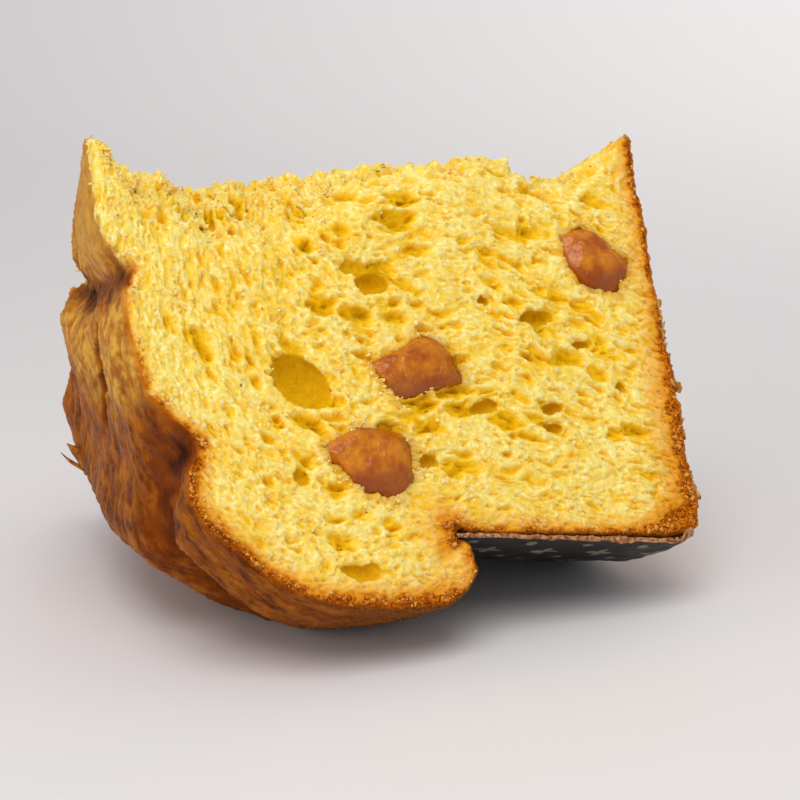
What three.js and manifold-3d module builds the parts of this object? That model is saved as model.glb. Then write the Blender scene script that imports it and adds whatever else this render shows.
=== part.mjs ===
// A wedge of tall sweet bread lying on its side, with candied fruit and the strip of its baking case.
// It is measured on the whole loaf: height from the base along the axis, radius from the axis, and an
// angle round the axis that is 0 at the underside of the lying wedge and grows towards the front.
import * as THREE from "three";
import { mergeVertices } from "three/addons/utils/BufferGeometryUtils.js";
import Module from "manifold-3d";

const { clamp, degToRad, lerp, smoothstep } = THREE.MathUtils;
const wasm = await Module();
wasm.setup();

// Lengths are millimetres and angles are degrees
const LOAF_TILT = 9;
const FRONT_CUT = 33;
const BACK_CUT = -30;

const CASE_RADIUS = 94.6;
const CASE_BOTTOM = 2.5;
const CASE_TOP = 56.8;
const CASE_THICKNESS = 0.9;
const CASE_CRINKLE = 0.35;
const CASE_FOOT = { height: 3.5, inset: 1.6 };
const CASE_STEPS = 30;
const CASE_ROWS = 9;

// The clear space kept between touching pieces
const GAP = 0.3;

// The loaf's half outline as [height, radius], from the middle of the base out, up the wall, round the
// skirt that hangs over the case, and over the dome to the axis
const LOAF_OUTLINE = [
  [1.5, 0], [1.8, 30], [0.6, 55], [-0.4, 76], [-1.4, 86], [0.2, 90.6],
  [2.6, 92.2], [7, 93.7], [28, 93.8], [50, 93.8],
  [57.6, 92.4], [54.6, 95], [52.2, 98.5], [53, 102.5], [58, 106.4], [66, 108], [77, 108.7],
  [88, 107.3], [96, 103.4], [103, 98.7], [109.6, 92.5], [111.6, 84],
  [113.6, 76], [117, 68], [120, 59], [120.8, 50], [122, 40], [124.6, 28], [125.8, 18], [126, 0],
];
const OUTLINE_STEPS = 60;
const ROUND_STEPS = 54;

// The skirt ends and the dome starts at this height, and the dome's own shapes fade in above it
const DOME_START = 76;
const DOME_FADE = 14;

// The soft crust lies flat where the table meets it, and curves up smoothly beside that patch
const SOFT_ZONE = 1.4;

// What the torn top leaves, as [height, depth below the axis]
const TORN_LINE = [
  [-12, -3], [0, -0.6], [4.7, 1.2], [8, 5.5], [16, 11.3], [25, 13.6], [29, 12], [34, 8.4], [41, 9.4],
  [45, 12.2], [57, 12.9], [71, 16.8], [83, 19.1], [90, 23], [94, 21.1], [103, 23.5], [109, 20.4],
  [115.5, 20.7], [120, 18.3], [124, 14.6], [132, 12],
];
const TORN_ROUNDING = 0.03;
const TORN_REACH = 18;
const TORN_TUFTS = 1.3;
const TORN_WAVES = 1;

// Heights between which the ridge is rough: the crust at both ends is torn clean
const ROUGH_FROM = [2, 14];
const ROUGH_TO = [116, 124];

// How far the cut faces are rough, with long waves and short crags
const CUT_WAVES = 0.75;
const CUT_CRAGS = 0.45;

// Grooves of the crust as [angle, radius], as seen along the loaf's axis
const CREASE = [[36, 42.5], [22, 44.5], [11, 43.5], [-10, 48], [-34, 56]];
const CREASE_DEPTH = [2.4, 6.8];
const CREASE_WIDTH = [2.6, 4.2];
const FOLD = [[38, 77], [28.7, 79], [22.7, 85], [19, 92], [18, 99], [15, 106]];
const FOLD_DEPTH = 3.8;
const FOLD_WIDTH = 4.2;
const FOLD_LIP = 1.2;
const EAR_LIP = 1.3;

// A shallow place where skin has peeled off, as [angle, radius]
const PEELED_SPOT = [6, 61];
const PEELED_DEPTH = 1.7;
const PEELED_WIDTH = 9;

// How far the dome leans in towards the back cut, and the shoulder is sunk below the fold
const BACK_LEAN = 1.8;
const SHOULDER_SINK = 3.4;
const SHOULDER_RADIUS = 104;

// Lumps and grain of the crust as [height, size]
const LUMPS = [0.9, 21];
const GRAIN = [0.4, 6];

// Open cells of the crumb as [height, radius, half length, half width, depth, turn]
const FRONT_CELLS = [
  [86.4, 63.6, 7.4, 5.2, 5, -35], [73.1, 38.6, 4.2, 2.2, 1.6, 5], [69.3, 41.8, 4.6, 2.8, 4, 10],
  [61.4, 78.9, 2.9, 1.8, 3, 25], [32.2, 46, 5.2, 1.9, 3.2, 8], [31.1, 66, 3, 1.6, 3, 10],
  [22.2, 51.4, 2.9, 1.3, 2.6, 8], [14, 60.4, 1.6, 1.5, 2.4, 0], [47, 66.6, 4, 1.9, 2.6, 15],
  [31.7, 70.4, 3, 1.5, 2.6, 12], [44.3, 43.3, 2, 1.4, 2.4, 0], [77.8, 101.4, 5.4, 1.9, 1.8, -8],
  [88.2, 83, 2.2, 1.7, 2.6, -40],
];
const BACK_CELLS = [
  [80, 52, 6.6, 3.6, 4.2, -30], [58, 46, 4.8, 2.2, 3, 5], [38, 58, 5.4, 2, 3, 8],
  [24, 74, 3.2, 1.6, 2.6, 5], [66, 92, 4.6, 2, 2.6, -12], [96, 70, 4, 2.4, 3, -50],
  [20, 40, 3, 1.6, 2.6, 0], [48, 80, 3.6, 1.8, 2.8, 10], [102, 46, 3.4, 1.8, 2.6, -50],
];

// Outlines of the candied pieces on the cut faces as [height, radius]
const FRONT_FRUIT = [
  [[23, 27.2], [19, 25], [12.4, 28.4], [8.6, 31.6], [11.8, 38.4], [19.4, 37.2], [22.4, 33.4]],
  [[70.6, 59.8], [65.6, 57.4], [58.8, 52.6], [53.6, 56.4], [52.4, 60.6], [61.4, 64], [66.6, 65.6]],
  [[82.6, 77.2], [75.5, 73.6], [66.6, 74], [65, 76.4], [65.4, 81.8], [69.4, 86.2], [75, 85.2]],
];
const BACK_FRUIT = [
  [[40, 33.4], [33.4, 32.2], [29.6, 37.4], [32, 43.2], [38.6, 44.6], [43, 39]],
  [[88.6, 88.6], [80, 86.4], [75.6, 90.8], [78, 97.2], [86.2, 98.4], [90.4, 93.6]],
];
const FRUIT_DEPTH = 11;
const FRUIT_PROUD = 1.1;
const FRUIT_BEVEL = 1.8;
const FRUIT_TAPER = 0.14;
const FRUIT_WAVE = 0.5;

const tilt = degToRad(LOAF_TILT);
const AXIS = new THREE.Vector3(-Math.cos(tilt), 0, Math.sin(tilt));
const DOWN = new THREE.Vector3(-Math.sin(tilt), 0, -Math.cos(tilt));
const FORWARD = new THREE.Vector3(0, -1, 0);

// Smooth noise between -1 and 1 over a lattice of fixed pseudo-random values
function lattice(i, j, k) {
  let mixed = Math.imul(i, 73856093) ^ Math.imul(j, 19349663) ^ Math.imul(k, 83492791);
  mixed = Math.imul(mixed ^ (mixed >>> 13), 1274126177);
  return ((mixed ^ (mixed >>> 16)) >>> 0) / 2147483648 - 1;
}

function noise(x, y, z) {
  const cell = [x, y, z].map(Math.floor);
  const part = [x - cell[0], y - cell[1], z - cell[2]].map((t) => t * t * (3 - 2 * t));
  let sum = 0;
  for (let corner = 0; corner < 8; corner += 1) {
    const step = [corner & 1, (corner >> 1) & 1, corner >> 2];
    const weight = step.reduce((w, s, n) => w * (s ? part[n] : 1 - part[n]), 1);
    sum += weight * lattice(cell[0] + step[0], cell[1] + step[1], cell[2] + step[2]);
  }
  return sum;
}

// A point of the lying loaf. A sideways distance is added square to the plane at that angle
function place(height, radius, angle, sideways = 0) {
  const turn = degToRad(angle);
  const down = radius * Math.cos(turn) - sideways * Math.sin(turn);
  const forward = radius * Math.sin(turn) + sideways * Math.cos(turn);
  return new THREE.Vector3()
    .addScaledVector(AXIS, height)
    .addScaledVector(DOWN, down)
    .addScaledVector(FORWARD, forward);
}

function mapVertices(geometry, change) {
  const position = geometry.attributes.position;
  const point = new THREE.Vector3();
  for (let i = 0; i < position.count; i += 1) {
    point.fromBufferAttribute(position, i);
    const moved = change(point, i);
    position.setXYZ(i, moved.x, moved.y, moved.z);
  }
  return geometry;
}

function toSolid(geometry) {
  geometry.deleteAttribute("normal");
  geometry.deleteAttribute("uv");
  const merged = mergeVertices(geometry, 1e-4);
  const triVerts = [];
  const index = merged.index.array;
  for (let i = 0; i < index.length; i += 3) {
    const [a, b, c] = index.slice(i, i + 3);
    if (a !== b && b !== c && c !== a) triVerts.push(a, b, c);
  }
  return new wasm.Manifold(new wasm.Mesh({
    numProp: 3,
    vertProperties: merged.attributes.position.array,
    triVerts: new Uint32Array(triVerts),
  }));
}

function toGeometry(solid) {
  const mesh = solid.getMesh();
  const geometry = new THREE.BufferGeometry();
  geometry.setAttribute("position", new THREE.BufferAttribute(mesh.vertProperties, 3));
  geometry.setIndex(new THREE.BufferAttribute(mesh.triVerts, 1));
  geometry.computeVertexNormals();
  return geometry;
}

// A smooth line through [x, y] points, sampled evenly
function smoothLine(points, steps) {
  const knots = points.map(([x, y]) => new THREE.Vector3(x, y, 0));
  return new THREE.CatmullRomCurve3(knots, false, "centripetal").getSpacedPoints(steps);
}

function valueAt(line, x) {
  const next = Math.max(1, line.findIndex(([end]) => end >= x));
  const [x0, y0] = line[next - 1];
  const [x1, y1] = line[next];
  return y0 + ((y1 - y0) * (x - x0)) / (x1 - x0);
}

// A point of the crust as seen along the loaf's axis
function plan(angle, radius) {
  const turn = degToRad(angle);
  return new THREE.Vector2(radius * Math.sin(turn), radius * Math.cos(turn));
}

function distanceToLine(line, point) {
  let nearest = Infinity;
  for (let i = 1; i < line.length; i += 1) {
    const from = plan(...line[i - 1]);
    const along = plan(...line[i]).sub(from);
    const share = clamp(point.clone().sub(from).dot(along) / along.lengthSq(), 0, 1);
    nearest = Math.min(nearest, from.addScaledVector(along, share).distanceTo(point));
  }
  return nearest;
}

function bump(distance, width) {
  return Math.exp(-((distance / width) ** 2));
}

// The dome's own shapes: the crease below the upper ear, the fold, the peeled spot and the shoulder
function domeShape(radius, angle) {
  const towardsBack = smoothstep(FRONT_CUT - angle, 10, FRONT_CUT - BACK_CUT);
  const spot = plan(angle, radius);
  const crease = distanceToLine(CREASE, spot);
  const fold = distanceToLine(FOLD, spot);
  const upper = smoothstep(50 - radius, 0, 25);
  const belowFold = smoothstep(28 - angle, 0, 12);
  let shape = EAR_LIP * bump(crease - 9, 6) * (1 - towardsBack);
  shape -= lerp(...CREASE_DEPTH, towardsBack) * bump(crease, lerp(...CREASE_WIDTH, towardsBack));
  shape += FOLD_LIP * bump(fold - 9, 4.5) - FOLD_DEPTH * bump(fold, FOLD_WIDTH);
  shape -= PEELED_DEPTH * bump(spot.distanceTo(plan(...PEELED_SPOT)), PEELED_WIDTH);
  shape -= BACK_LEAN * towardsBack * (1 + upper);
  shape -= SHOULDER_SINK * bump(radius - SHOULDER_RADIUS, 8) * belowFold;
  return shape;
}

// How far the crust stands out of the smooth outline. The wall inside the case is smooth
function crustRelief(height, radius, angle) {
  if (height < CASE_TOP && radius > 88) return 0;
  const at = place(height, radius, angle);
  const uneven = [LUMPS, GRAIN]
    .map(([out, size]) => out * noise(at.x / size, at.y / size, at.z / size))
    .reduce((sum, value) => sum + value);
  if (height < CASE_TOP) return uneven * 0.6;
  if (radius < 4 || Math.abs(angle) > 60) return uneven;
  return uneven + domeShape(radius, angle) * smoothstep(height, DOME_START, DOME_START + DOME_FADE);
}

// Half of the steps round the loaf fall inside the wedge
function spacedAngle(share) {
  const turn = 2 * share - 1;
  return 180 * (0.34 * turn + 0.66 * turn ** 3);
}

function loaf(floor) {
  const outline = smoothLine(LOAF_OUTLINE, OUTLINE_STEPS);
  outline[0].y = 0;
  outline[OUTLINE_STEPS].y = 0;
  const profile = outline.map((point) => new THREE.Vector2(point.y, point.x));
  const geometry = new THREE.LatheGeometry(profile, ROUND_STEPS);
  const rise = outline.map((point, j) => {
    const before = outline[Math.max(0, j - 1)];
    const after = outline[Math.min(OUTLINE_STEPS, j + 1)];
    return new THREE.Vector2(after.x - before.x, after.y - before.y).normalize();
  });
  mapVertices(geometry, (point, i) => {
    const j = i % profile.length;
    const angle = spacedAngle(Math.floor(i / profile.length) / ROUND_STEPS);
    const { x: height, y: radius } = outline[j];
    const out = crustRelief(height, radius, angle);
    const pole = j === 0 || j === OUTLINE_STEPS;
    const moved = place(height - out * rise[j].y, pole ? 0 : radius + out * rise[j].x, angle);
    return settle(moved, floor);
  });
  return toSolid(geometry);
}

// Presses a point of the crust on to the table
function settle(point, floor) {
  const above = point.z - floor;
  if (above < -SOFT_ZONE) point.z = floor;
  else if (above < SOFT_ZONE) point.z = floor + (above + SOFT_ZONE) ** 2 / (4 * SOFT_ZONE);
  return point;
}

// The strip of the baking case: a thin wall with a rolled foot, grown by a margin for its pocket
function caseWall(margin) {
  const half = CASE_THICKNESS / 2 + margin;
  const start = BACK_CUT - 0.25 - margin;
  const end = FRONT_CUT + 0.3 + margin;
  const geometry = new THREE.BoxGeometry(1, 1, 1, CASE_STEPS, CASE_ROWS, 1);
  mapVertices(geometry, (point) => {
    const angle = lerp(start, end, point.x + 0.5);
    const height = lerp(CASE_BOTTOM - margin, CASE_TOP + margin, point.y + 0.5);
    const crinkle = CASE_CRINKLE * noise(angle / 4, height / 16, 3.5);
    const foot = CASE_FOOT.inset * smoothstep(CASE_BOTTOM + CASE_FOOT.height - height, 0, CASE_FOOT.height);
    const middle = CASE_RADIUS - CASE_THICKNESS / 2 - CASE_CRINKLE + crinkle - foot;
    return place(height, middle + Math.sign(point.z) * half, angle);
  });
  return toSolid(geometry);
}

// A block whose rough inner face is one cut face of the wedge, and whose bulk is what is cut away. It
// starts a little past the loaf's base and axis
const KNIFE = { long: 150, deep: 136, thick: 135, past: 13 };

function knife(angle, side, seed) {
  const { long, deep, thick, past } = KNIFE;
  const geometry = new THREE.BoxGeometry(long, deep, thick, 34, 30, 1);
  geometry.translate(long / 2 - past, deep / 2 - past, (side * thick) / 2);
  mapVertices(geometry, ({ x: height, y: radius, z }) => {
    const waves = CUT_WAVES * noise(height / 12, radius / 6, seed);
    const crags = CUT_CRAGS * noise(height / 6, radius / 4, seed + 9);
    return place(height, radius, angle, Math.abs(z) < 1 ? waves + crags : z);
  });
  return toSolid(geometry);
}

// A block whose rough lower face is the torn ridge along the wedge's top. Its rows are close together
// near the middle
function tear() {
  const { long, thick, past } = KNIFE;
  const geometry = new THREE.BoxGeometry(long, 2, thick, 44, 24, 1);
  geometry.translate(long / 2 - past, 0, -thick / 2);
  mapVertices(geometry, ({ x: height, y: share, z }) => {
    const across = thick * (0.12 * share + 0.88 * share ** 3);
    const tufts = TORN_TUFTS * noise(height / 4.5, across / 4.5, 21);
    const waves = TORN_WAVES * noise(height / 11, across / 9, 5);
    const rounding = TORN_ROUNDING * Math.min(Math.abs(across), TORN_REACH) ** 2;
    const fade = smoothstep(height, ...ROUGH_FROM) * (1 - smoothstep(height, ...ROUGH_TO));
    const ridge = valueAt(TORN_LINE, height) + (rounding + tufts + waves) * fade;
    const depth = Math.abs(z) < 1 ? ridge : z;
    return new THREE.Vector3()
      .addScaledVector(AXIS, height)
      .addScaledVector(FORWARD, -across)
      .addScaledVector(DOWN, depth);
  });
  return toSolid(geometry);
}

function openCell([height, radius, halfLength, halfWidth, depth, turn], angle) {
  const geometry = new THREE.SphereGeometry(1, 9, 6);
  geometry.scale(halfLength, halfWidth, depth);
  geometry.rotateZ(degToRad(turn));
  mapVertices(geometry, ({ x, y, z }) => place(height + x, radius + y, angle, z));
  return toSolid(geometry);
}

// One candied piece: its outline given a depth into the crumb, with rounded and slightly wavy edges
function candiedPiece(outline, angle, side, seed, margin) {
  const centre = outline.reduce((sum, [h, r]) => sum.add(new THREE.Vector2(h, r)), new THREE.Vector2());
  centre.divideScalar(outline.length);
  const corners = outline.map(([h, r]) => {
    const corner = new THREE.Vector2(h, r).sub(centre);
    return corner.setLength(corner.length() + margin - FRUIT_BEVEL / 2);
  });
  const depth = FRUIT_DEPTH + 2 * margin - 2 * FRUIT_BEVEL;
  const geometry = new THREE.ExtrudeGeometry(new THREE.Shape(corners), {
    depth, steps: 2, bevelSize: FRUIT_BEVEL, bevelThickness: FRUIT_BEVEL, bevelSegments: 3,
  });
  geometry.translate(0, 0, -depth / 2);
  const inwards = FRUIT_DEPTH / 2 - FRUIT_PROUD;
  mapVertices(geometry, ({ x, y, z }) => {
    const taper = 1 - FRUIT_TAPER * (0.5 - (side * z) / FRUIT_DEPTH);
    const wave = FRUIT_WAVE * noise(x / 4 + seed, y / 4, z / 5);
    return place(centre.x + x * taper, centre.y + y * taper, angle, z + side * (wave - inwards));
  });
  return toSolid(geometry);
}

function material(color, roughness) {
  return new THREE.MeshStandardMaterial({ color, roughness, metalness: 0 });
}

function named(name, solid, look) {
  const mesh = new THREE.Mesh(toGeometry(solid), look);
  mesh.name = name;
  return mesh;
}

const caseStrip = caseWall(0);
const floor = caseStrip.boundingBox().min[2];

const candied = [
  ...FRONT_FRUIT.map((outline, i) => ({ outline, angle: FRONT_CUT, side: 1, seed: 3 + 7 * i })),
  ...BACK_FRUIT.map((outline, i) => ({ outline, angle: BACK_CUT, side: -1, seed: 40 + 7 * i })),
];

let crumb = loaf(floor)
  .subtract(knife(FRONT_CUT, 1, 31))
  .subtract(knife(BACK_CUT, -1, 57))
  .subtract(tear())
  .subtract(caseWall(GAP));
for (const cell of FRONT_CELLS) crumb = crumb.subtract(openCell(cell, FRONT_CUT));
for (const cell of BACK_CELLS) crumb = crumb.subtract(openCell(cell, BACK_CUT));
for (const { outline, angle, side, seed } of candied) {
  crumb = crumb.subtract(candiedPiece(outline, angle, side, seed, GAP));
}

// Loose flakes that the cuts leave are dropped
crumb = crumb.decompose().reduce((kept, piece) => (piece.volume() > kept.volume() ? piece : kept));

const wedge = new THREE.Group();
wedge.name = "panettone_wedge";
wedge.add(named("bread", crumb, material("#e6b93a", 0.85)));
wedge.add(named("paper_case", caseStrip, material("#241a14", 0.7)));
candied.forEach(({ outline, angle, side, seed }, i) => {
  const piece = candiedPiece(outline, angle, side, seed, 0);
  wedge.add(named(`candied_fruit_${i + 1}`, piece, material("#a8561c", 0.3)));
});

// The origin is the middle of the wedge's box, on the table
const box = new THREE.Box3().setFromObject(wedge);
wedge.position.set(-(box.min.x + box.max.x) / 2, -(box.min.y + box.max.y) / 2, -box.min.z);

export default wedge;
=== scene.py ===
# %% [markdown]
# A torn wedge of panettone lies on its side. Its two cut faces show open yellow crumb with candied
# fruit, its outside is baked crust, and a strip of the dark paper case still wraps its wall. The packed
# model is the fixed frame: every piece below is made around its solids, in metres.

# %% Load the frame
import math

import bpy
import numpy as np
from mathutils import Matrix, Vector
from mathutils.bvhtree import BVHTree
from mathutils.kdtree import KDTree


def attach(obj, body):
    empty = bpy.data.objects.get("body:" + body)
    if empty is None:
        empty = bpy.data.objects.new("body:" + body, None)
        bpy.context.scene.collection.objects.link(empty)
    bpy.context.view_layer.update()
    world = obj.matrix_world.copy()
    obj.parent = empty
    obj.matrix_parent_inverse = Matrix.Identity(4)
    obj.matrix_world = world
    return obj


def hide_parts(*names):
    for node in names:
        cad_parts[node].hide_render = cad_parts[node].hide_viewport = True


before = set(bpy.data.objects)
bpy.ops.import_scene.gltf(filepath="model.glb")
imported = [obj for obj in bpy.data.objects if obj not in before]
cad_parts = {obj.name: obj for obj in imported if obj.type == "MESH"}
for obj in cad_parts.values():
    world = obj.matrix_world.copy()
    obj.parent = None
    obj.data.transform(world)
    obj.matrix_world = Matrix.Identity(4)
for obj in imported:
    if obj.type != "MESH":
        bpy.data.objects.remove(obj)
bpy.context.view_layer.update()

MM = 0.001
print("nodes:", sorted(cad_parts))

# %% [markdown]
# The photograph was taken from a little to the left and above, from close by, so its perspective is
# strong. A camera is set by the point that it looks at, the direction that it looks from, its distance
# and the width that it sees there. Those four real sizes keep the framing easy to read and to change.

# %% Camera
AIM = Vector((5.5, -1.7, 38.5)) * MM
AZIMUTH, ELEVATION = math.radians(-24), math.radians(14)
CAMERA_DISTANCE = 407.6 * MM
SEEN_WIDTH = 172.1 * MM
SENSOR = 36

camera_data = bpy.data.cameras.new("camera")
camera_data.sensor_width = SENSOR
camera_data.lens = SENSOR * CAMERA_DISTANCE / SEEN_WIDTH
camera = bpy.data.objects.new("camera", camera_data)
towards = Vector((math.sin(AZIMUTH), -math.cos(AZIMUTH), 0)) * math.cos(ELEVATION)
towards.z = math.sin(ELEVATION)
camera.location = AIM + towards * CAMERA_DISTANCE
camera.rotation_euler = (-towards).to_track_quat("-Z", "Y").to_euler()
bpy.context.scene.collection.objects.link(camera)
bpy.context.scene.camera = camera
bpy.context.scene.view_settings.view_transform = "Standard"
print("camera lens in mm:", round(camera_data.lens, 1))

# %% [markdown]
# Most of Blender's operators act on whatever is selected. These helpers select one object first, add a
# modifier and apply it, so that each step below leaves a plain mesh for the next one. The others make
# an object from points and faces, and read or move the points of one.


# %% Selection and modifier helpers
def only(piece):
    """Makes one object the selected and active one."""
    bpy.ops.object.select_all(action="DESELECT")
    piece.select_set(True)
    bpy.context.view_layer.objects.active = piece


def link(name, data):
    """A new object in the scene that shows this mesh, lamp or camera."""
    made = bpy.data.objects.new(name, data)
    bpy.context.scene.collection.objects.link(made)
    return made


def mesh_from(name, points, faces):
    """A new object from its points in mm and its faces."""
    mesh = bpy.data.meshes.new(name)
    mesh.from_pydata((points * MM).tolist(), [], faces.tolist())
    mesh.update()
    return link(name, mesh)


def shade_smooth(piece):
    for polygon in piece.data.polygons:
        polygon.use_smooth = True


def apply_modifier(piece, kind, **settings):
    """Adds a modifier with its settings and applies it to the mesh."""
    only(piece)
    modifier = piece.modifiers.new(kind.lower(), kind)
    for name, value in settings.items():
        setattr(modifier, name, value)
    bpy.ops.object.modifier_apply(modifier=modifier.name)


def merged_copy(node, name):
    """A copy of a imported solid, with its loose triangles joined and its materials off."""
    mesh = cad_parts[node].data.copy()
    mesh.name = name
    mesh.materials.clear()
    piece = link(name, mesh)
    only(piece)
    bpy.ops.object.mode_set(mode="EDIT")
    bpy.ops.mesh.select_all(action="SELECT")
    bpy.ops.mesh.remove_doubles(threshold=0.002 * MM)
    bpy.ops.object.mode_set(mode="OBJECT")
    return piece


def face_outwards(piece):
    """Turns all the faces of a mesh one way, outwards where it is closed."""
    only(piece)
    bpy.ops.object.mode_set(mode="EDIT")
    bpy.ops.mesh.select_all(action="SELECT")
    bpy.ops.mesh.normals_make_consistent(inside=False)
    bpy.ops.object.mode_set(mode="OBJECT")


def read(items, field, width):
    """One field of every vertex, face or edge as rows of numbers."""
    values = np.empty(len(items) * width, np.int32 if field == "vertices" else np.float32)
    items.foreach_get(field, values)
    return values.reshape(-1, width)


def points_of(piece):
    """The points of a mesh in mm."""
    return read(piece.data.vertices, "co", 3).astype(float) / MM


def normals_of(piece):
    return read(piece.data.vertex_normals, "vector", 3).astype(float)


def move_points(piece, points):
    """Puts the points of a mesh at new places, given in mm."""
    piece.data.vertices.foreach_set("co", (points * MM).astype(np.float32).ravel())


def finish_piece(piece, slot, *nodes):
    """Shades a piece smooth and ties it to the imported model."""
    shade_smooth(piece)
    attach(piece, "root")
    if nodes:
        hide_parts(*nodes)
    print(piece.name, "faces:", len(piece.data.polygons))


# %% [markdown]
# A material is a small net of nodes. Two helpers keep every net short: one turns an sRGB hex colour
# into the linear numbers that a shader needs, and one adds a node with its settings and links. The
# others give a name to the few nets that come back in every material.


# %% Colour and node helpers
def linear(hex_colour):
    """The linear colour of an sRGB hex value, with alpha 1."""
    parts = [int(hex_colour[i:i + 2], 16) / 255 for i in (1, 3, 5)]
    return (*[p / 12.92 if p <= 0.04045 else ((p + 0.055) / 1.055) ** 2.4 for p in parts], 1)


def add(tree, kind, settings=(), **inputs):
    """Adds a node and returns its first output. An input is named with _ for a space, or by number."""
    node = tree.nodes.new("ShaderNode" + kind)
    for name, value in dict(settings).items():
        setattr(node, name, value)
    for name, value in inputs.items():
        socket = node.inputs[int(name[1:]) if name[1:].isdigit() else name.replace("_", " ")]
        if isinstance(value, bpy.types.NodeSocket):
            tree.links.new(value, socket)
        else:
            socket.default_value = linear(value) if isinstance(value, str) else value
    return next((output for output in node.outputs if output.enabled), node)


def new_material(name):
    """A new material and its empty net of nodes."""
    material = bpy.data.materials.new(name)
    material.use_nodes = True
    material.node_tree.nodes.clear()
    return material, material.node_tree


def shade(tree, **inputs):
    """Adds the shader with its inputs and joins it to the output."""
    output = tree.nodes.new("ShaderNodeOutputMaterial")
    tree.links.new(add(tree, "BsdfPrincipled", **inputs), output.inputs[0])


def place_on(tree):
    """The place on the object, in metres."""
    return add(tree, "TexCoord").node.outputs["Object"]


def mixed(tree, share, first, second):
    """A blend of two colours, each a hex value or an output."""
    return add(tree, "Mix", {"data_type": "RGBA"}, _0=share, _6=first, _7=second)


def maths(tree, operation, *values):
    """One step of arithmetic on numbers or outputs."""
    inputs = {f"_{number}": value for number, value in enumerate(values)}
    return add(tree, "Math", {"operation": operation}, **inputs)


def measured(tree, name):
    """A number that is kept on every point of the mesh."""
    node = tree.nodes.new("ShaderNodeAttribute")
    node.attribute_name = name
    return node.outputs["Fac"]


def ramp(tree, value, low, high, out_low=0.0, out_high=1.0):
    """A number stretched from one range to another and held inside it."""
    return add(tree, "MapRange", _0=value, _1=low, _2=high, _3=out_low, _4=out_high)


def grain(tree, place, size_mm, detail=2.0, stretch=(1, 1, 1)):
    """Noise between 0 and 1 whose features are about size_mm wide."""
    scaled = add(tree, "Mapping", _0=place, Scale=[1 / (size_mm * MM * s) for s in stretch])
    return add(tree, "TexNoise", Vector=scaled, Scale=1.0, Detail=detail, Roughness=0.55)


# %% [markdown]
# The picture has a plain pale table that runs up into a pale background without a corner. A plane bent
# up at its back gives both.

# %% Table and background
TABLE_WIDTH, TABLE_FRONT, TABLE_BACK = 4.5, 1.6, 0.75
SWEEP_RADIUS, BACKDROP_HEIGHT = 0.5, 1.6

bpy.ops.object.select_all(action="DESELECT")
bpy.ops.mesh.primitive_grid_add(x_subdivisions=1, y_subdivisions=72, size=1)
table = bpy.context.object
table.name = "table"
arc = SWEEP_RADIUS * math.pi / 2
length = TABLE_FRONT + TABLE_BACK + arc + BACKDROP_HEIGHT
for vertex in table.data.vertices:
    run = (vertex.co.y + 0.5) * length - TABLE_FRONT
    turn = min(max(run - TABLE_BACK, 0) / SWEEP_RADIUS, math.pi / 2)
    climb = max(run - TABLE_BACK - arc, 0)
    away = min(run, TABLE_BACK) + SWEEP_RADIUS * math.sin(turn)
    across = vertex.co.x * TABLE_WIDTH
    vertex.co = (
        across * math.cos(AZIMUTH) - away * math.sin(AZIMUTH),
        across * math.sin(AZIMUTH) + away * math.cos(AZIMUTH),
        SWEEP_RADIUS * (1 - math.cos(turn)) + climb,
    )
shade_smooth(table)

matt_board, tree = new_material("matt painted board")
shade(tree, Base_Color="#e9e5e4", Roughness=0.75)
table.data.materials.append(matt_board)

# %% [markdown]
# The light is soft and even, and comes from above and a little in front. One large area lamp gives the
# shape and the soft shadow, a weaker one lifts the crust on the left, a third lights the background
# alone, and an even grey world fills the rest.


# %% Soft light
def soft_lamp(name, place, size, power, looks_at=AIM, spread=180):
    data = bpy.data.lights.new(name, "AREA")
    data.shape, data.size, data.energy, data.spread = "DISK", size, power, math.radians(spread)
    lamp = link(name, data)
    lamp.location = Vector(place)
    lamp.rotation_euler = (Vector(looks_at) - lamp.location).to_track_quat("-Z", "Y").to_euler()


soft_lamp("lamp_above", (-0.22, -0.42, 0.80), 0.70, 4.4)
soft_lamp("lamp_left", (-0.85, -0.30, 0.28), 0.50, 1.35)
soft_lamp("lamp_background", (0.75, 0.25, 0.95), 1.00, 3.1, (1.05, 0.95, 0.15), 130)
world = bpy.data.worlds.new("studio")
world.use_nodes = True
world.node_tree.nodes["Background"].inputs[0].default_value = linear("#f6f7fa")
world.node_tree.nodes["Background"].inputs[1].default_value = 0.53
bpy.context.scene.world = world

# %% [markdown]
# The wedge was cut from a round loaf, and its crumb and crust follow that loaf. So every pattern is
# measured on the loaf: the height from its base along the axis, the distance from the axis, and the
# angle round it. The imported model's own values say where the loaf lies.

# %% Loaf coordinates
LOAF_TILT = math.radians(9)
FRONT_CUT, BACK_CUT = math.radians(33), math.radians(-30)
LOAF_BASE = np.array((65.144, 2.570, 91.837))
AXIS = np.array((-math.cos(LOAF_TILT), 0, math.sin(LOAF_TILT)))
DOWN = np.array((-math.sin(LOAF_TILT), 0, -math.cos(LOAF_TILT)))
FORWARD = np.array((0, -1, 0))
CASE_TOP = 56.8


def loaf_coordinates(points):
    """Height, distance from the axis and angle, in mm and radians."""
    rel = points - LOAF_BASE
    down, forward = rel @ DOWN, rel @ FORWARD
    return rel @ AXIS, np.hypot(down, forward), np.arctan2(forward, down)


def smooth(value, low, high):
    """0 below low, 1 above high, and a soft step between."""
    share = np.clip((value - low) / (high - low), 0, 1)
    return share * share * (3 - 2 * share)


def bump(distance, width):
    return np.exp(-((distance / width) ** 2))


# %% [markdown]
# Rising dough stretches its bubbles along the crust, so the crumb's cells lie along curved lines: level
# low in the loaf and bent over below the dome. Bending the coordinates once, before any pattern is
# drawn, makes every pattern follow these lines.

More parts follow.
